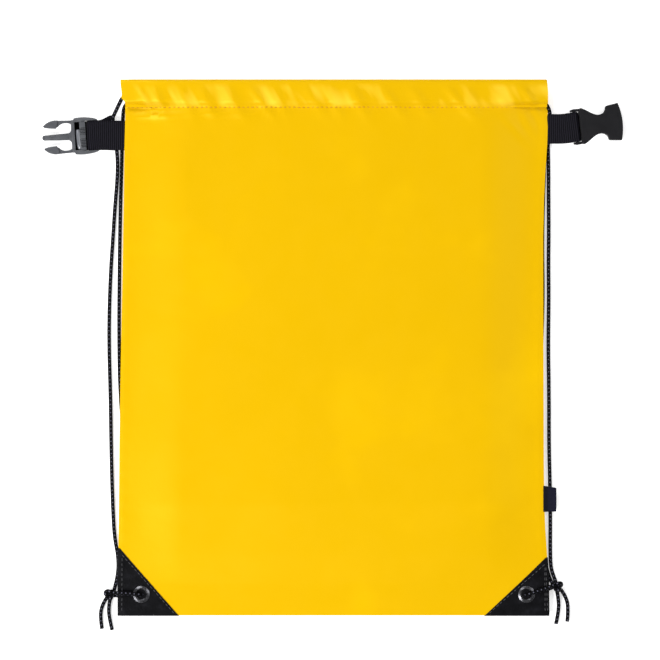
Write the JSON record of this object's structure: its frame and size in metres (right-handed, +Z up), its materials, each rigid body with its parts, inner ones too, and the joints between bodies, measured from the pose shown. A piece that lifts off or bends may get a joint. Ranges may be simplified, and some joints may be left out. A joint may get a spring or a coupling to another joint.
{
  "type": "drawstring roll-top dry bag",
  "caption": "Flat coated-fabric drawstring bag with a roll-down mouth, side drawcords, black corner patches and a side-release buckle on short webbing straps.",
  "frame": {"origin": "middle of the back panel's outer face, on the surface that the bag lies on", "axes": "+X across the bag to its right side, +Y towards the mouth, +Z up out of the front panel"},
  "size_m": [0.4832, 0.4579, 0.0143],
  "materials": {
    "coated_fabric": "satin coated",
    "patch_fabric": "grained black",
    "eyelet_metal": "blackened metal",
    "cord": "braided",
    "thread": "thread",
    "webbing": "ribbed woven",
    "male_plastic": "satin moulded",
    "female_plastic": "matt moulded",
    "label_cloth": "woven"
  },
  "bodies": {
    "bag": {"front_panel_lower": "coated_fabric", "back_panel_lower": "coated_fabric", "corner_patch_left": "patch_fabric", "corner_patch_right": "patch_fabric", "eyelet_left": "eyelet_metal", "eyelet_right": "eyelet_metal", "eyelet_washer_left": "eyelet_metal", "eyelet_washer_right": "eyelet_metal", "drawcord_left_lower": "cord", "drawcord_right_lower": "cord", "cord_loop_left": "cord", "cord_loop_right": "cord", "cord_tails_left": "cord", "cord_tails_right": "cord", "cord_knot_left": "cord", "cord_knot_right": "cord"},
    "roll_middle": {"front_panel_middle": "coated_fabric", "back_panel_middle": "coated_fabric", "drawcord_left_middle": "cord", "drawcord_right_middle": "cord"},
    "roll_top": {"front_panel_top": "coated_fabric", "back_panel_top": "coated_fabric", "front_mouth_hem": "coated_fabric", "back_mouth_hem": "coated_fabric", "front_hem_stitching": "thread", "drawcord_left_upper": "cord", "drawcord_right_upper": "cord"},
    "strap_left": {"webbing_left": "webbing"},
    "strap_right": {"webbing_right": "webbing"},
    "buckle_male": {"buckle_male_frame": "male_plastic"},
    "arm_upper": {"buckle_arm_upper": "male_plastic"},
    "arm_lower": {"buckle_arm_lower": "male_plastic"},
    "buckle_female": {"buckle_female": "female_plastic"},
    "label": {"side_label": "label_cloth"}
  },
  "joints": [
    {"name": "second_fold", "type": "hinge", "parent": "bag", "child": "roll_middle", "pos_m": [0, 0.0925, 0.0197], "axis": [1, 0, 0], "range_deg": [0, 180]},
    {"name": "first_fold", "type": "hinge", "parent": "roll_middle", "child": "roll_top", "pos_m": [0, 0.1575, 0.0134], "axis": [1, 0, 0], "range_deg": [0, 180]},
    {"name": "strap_left_swing", "type": "hinge", "parent": "roll_top", "child": "strap_left", "pos_m": [-0.1745, 0.178, 0.0062], "axis": [0, -1, 0], "range_deg": [-130, 0]},
    {"name": "strap_right_swing", "type": "hinge", "parent": "roll_top", "child": "strap_right", "pos_m": [0.1767, 0.1803, 0.0071], "axis": [0, 1, 0], "range_deg": [-130, 0]},
    {"name": "buckle_male_tilt", "type": "hinge", "parent": "strap_left", "child": "buckle_male", "pos_m": [-0.2023, 0.1753, 0.0035], "axis": [-0.0958, 0.9954, 0], "range_deg": [-60, 60]},
    {"name": "buckle_female_tilt", "type": "hinge", "parent": "strap_right", "child": "buckle_female", "pos_m": [0.201, 0.1833, 0.0047], "axis": [0.1219, -0.9925, 0], "range_deg": [-60, 60]},
    {"name": "arm_upper_flex", "type": "hinge", "parent": "buckle_male", "child": "arm_upper", "pos_m": [-0.21851, 0.1872, 0.0035], "axis": [0, 0, 1], "range_deg": [0, 9], "stiffness_Nm_per_rad": 0.1},
    {"name": "arm_lower_flex", "type": "hinge", "parent": "buckle_male", "child": "arm_lower", "pos_m": [-0.21595, 0.16052, 0.0035], "axis": [0, 0, -1], "range_deg": [0, 9], "stiffness_Nm_per_rad": 0.1},
    {"name": "label_fold", "type": "hinge", "parent": "bag", "child": "label", "pos_m": [0.1741, -0.1257, 0.0065], "axis": [0, -1, 0], "range_deg": [0, 150]}
  ]
}
